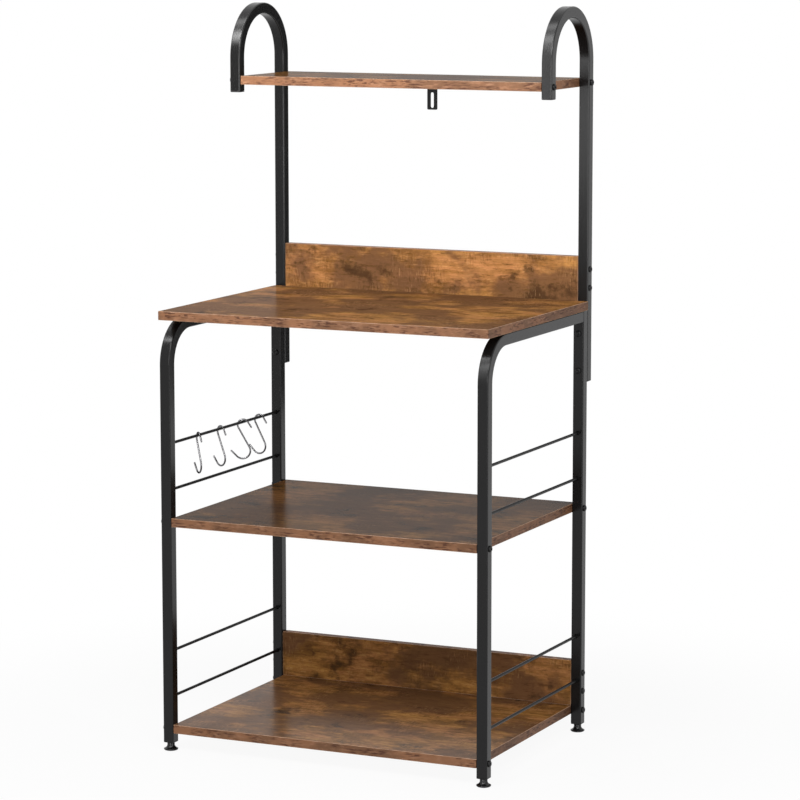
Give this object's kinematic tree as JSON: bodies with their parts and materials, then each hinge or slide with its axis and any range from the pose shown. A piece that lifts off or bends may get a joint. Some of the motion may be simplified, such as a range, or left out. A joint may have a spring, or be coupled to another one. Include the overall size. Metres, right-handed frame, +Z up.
{
  "type": "microwave stand",
  "caption": "Tall kitchen stand: black square-tube side frames, rustic brown worktop and shelves, raised top shelf between arched tubes, guard rods and hanging S-hooks.",
  "frame": {"origin": "on the floor, midway between the side frames and midway between the worktop's front edge and the hutch tubes' rear faces", "axes": "+X to the right as seen from the front, +Y from the front to the wall behind, +Z up"},
  "size_m": [0.6146, 0.4503, 1.2535],
  "materials": {
    "powder_coated_steel": "satin black powder coat on steel",
    "rustic_laminate": "rustic brown wood-grain laminate on particle board, edge-banded",
    "black_bolt": "black steel socket screws",
    "black_plastic": "moulded black plastic",
    "zinc_steel": "bright zinc-plated steel thread",
    "chrome_wire": "chromed steel wire"
  },
  "bodies": {
    "stand": {"left_front_leg_and_rail": "powder_coated_steel", "left_rear_post": "powder_coated_steel", "left_hutch_tube": "powder_coated_steel", "left_guard_rod_1": "powder_coated_steel", "left_guard_rod_2": "powder_coated_steel", "left_guard_rod_3": "powder_coated_steel", "left_guard_rod_4": "powder_coated_steel", "right_front_leg_and_rail": "powder_coated_steel", "right_rear_post": "powder_coated_steel", "right_hutch_tube": "powder_coated_steel", "right_guard_rod_1": "powder_coated_steel", "right_guard_rod_2": "powder_coated_steel", "right_guard_rod_3": "powder_coated_steel", "right_guard_rod_4": "powder_coated_steel", "wall_bracket": "powder_coated_steel", "bottom_shelf": "rustic_laminate", "middle_shelf": "rustic_laminate", "worktop": "rustic_laminate", "top_shelf": "rustic_laminate", "lower_back_board": "rustic_laminate", "upper_back_board": "rustic_laminate", "bottom_shelf_bolt_left_front": "black_bolt", "bottom_shelf_bolt_left_rear": "black_bolt", "bottom_shelf_bolt_right_front": "black_bolt", "bottom_shelf_bolt_right_rear": "black_bolt", "middle_shelf_bolt_left_front": "black_bolt", "middle_shelf_bolt_left_rear": "black_bolt", "middle_shelf_bolt_right_front": "black_bolt", "middle_shelf_bolt_right_rear": "black_bolt", "top_shelf_bolt_left_front": "black_bolt", "top_shelf_bolt_left_rear": "black_bolt", "top_shelf_bolt_right_front": "black_bolt", "top_shelf_bolt_right_rear": "black_bolt", "hutch_tube_bolt_left_1": "black_bolt", "hutch_tube_bolt_left_2": "black_bolt", "hutch_tube_bolt_right_1": "black_bolt", "hutch_tube_bolt_right_2": "black_bolt", "wall_bracket_screw": "black_bolt", "leg_plug_left_front": "black_plastic", "leg_plug_left_rear": "black_plastic", "leg_plug_right_front": "black_plastic", "leg_plug_right_rear": "black_plastic", "hutch_tube_cap_left_front": "black_plastic", "hutch_tube_cap_left_rear": "black_plastic", "hutch_tube_cap_right_front": "black_plastic", "hutch_tube_cap_right_rear": "black_plastic"},
    "stud_left_front": {"foot_stud_left_front": "zinc_steel"},
    "pad_left_front": {"foot_pad_left_front": "black_plastic"},
    "stud_left_rear": {"foot_stud_left_rear": "zinc_steel"},
    "pad_left_rear": {"foot_pad_left_rear": "black_plastic"},
    "stud_right_front": {"foot_stud_right_front": "zinc_steel"},
    "pad_right_front": {"foot_pad_right_front": "black_plastic"},
    "stud_right_rear": {"foot_stud_right_rear": "zinc_steel"},
    "pad_right_rear": {"foot_pad_right_rear": "black_plastic"},
    "hook_1": {"s_hook_1": "chrome_wire"},
    "hook_2": {"s_hook_2": "chrome_wire"},
    "hook_3": {"s_hook_3": "chrome_wire"},
    "hook_4": {"s_hook_4": "chrome_wire"}
  },
  "joints": [
    {"name": "foot_height_left_front", "type": "slide", "parent": "stand", "child": "stud_left_front", "axis": [0, 0, -1], "range_m": [0, 0.012]},
    {"name": "foot_turn_left_front", "type": "hinge", "parent": "stud_left_front", "child": "pad_left_front", "pos_m": [-0.2895, -0.2135, 0], "axis": [0, 0, -1], "range_deg": [0, 3456]},
    {"name": "foot_height_left_rear", "type": "slide", "parent": "stand", "child": "stud_left_rear", "axis": [0, 0, -1], "range_m": [0, 0.012]},
    {"name": "foot_turn_left_rear", "type": "hinge", "parent": "stud_left_rear", "child": "pad_left_rear", "pos_m": [-0.2895, 0.196, 0], "axis": [0, 0, -1], "range_deg": [0, 3456]},
    {"name": "foot_height_right_front", "type": "slide", "parent": "stand", "child": "stud_right_front", "axis": [0, 0, -1], "range_m": [0, 0.012]},
    {"name": "foot_turn_right_front", "type": "hinge", "parent": "stud_right_front", "child": "pad_right_front", "pos_m": [0.2895, -0.2135, 0], "axis": [0, 0, -1], "range_deg": [0, 3456]},
    {"name": "foot_height_right_rear", "type": "slide", "parent": "stand", "child": "stud_right_rear", "axis": [0, 0, -1], "range_m": [0, 0.012]},
    {"name": "foot_turn_right_rear", "type": "hinge", "parent": "stud_right_rear", "child": "pad_right_rear", "pos_m": [0.2895, 0.196, 0], "axis": [0, 0, -1], "range_deg": [0, 3456]},
    {"name": "hook_swing_1", "type": "hinge", "parent": "stand", "child": "hook_1", "pos_m": [-0.2895, -0.10499, 0.526], "axis": [0, 1, 0], "range_deg": [-60, 60]},
    {"name": "hook_swing_2", "type": "hinge", "parent": "stand", "child": "hook_2", "pos_m": [-0.2895, -0.024, 0.526], "axis": [0, 1, 0], "range_deg": [-60, 60]},
    {"name": "hook_swing_3", "type": "hinge", "parent": "stand", "child": "hook_3", "pos_m": [-0.2895, 0.05951, 0.526], "axis": [0, 1, 0], "range_deg": [-60, 60]},
    {"name": "hook_swing_4", "type": "hinge", "parent": "stand", "child": "hook_4", "pos_m": [-0.2895, 0.12198, 0.526], "axis": [0, 1, 0], "range_deg": [-60, 60]}
  ],
  "couplings": [
    {"joint": "foot_height_left_front", "follows": "foot_turn_left_front", "m_per_rad": 0.00019894},
    {"joint": "foot_height_left_rear", "follows": "foot_turn_left_rear", "m_per_rad": 0.00019894},
    {"joint": "foot_height_right_front", "follows": "foot_turn_right_front", "m_per_rad": 0.00019894},
    {"joint": "foot_height_right_rear", "follows": "foot_turn_right_rear", "m_per_rad": 0.00019894}
  ]
}
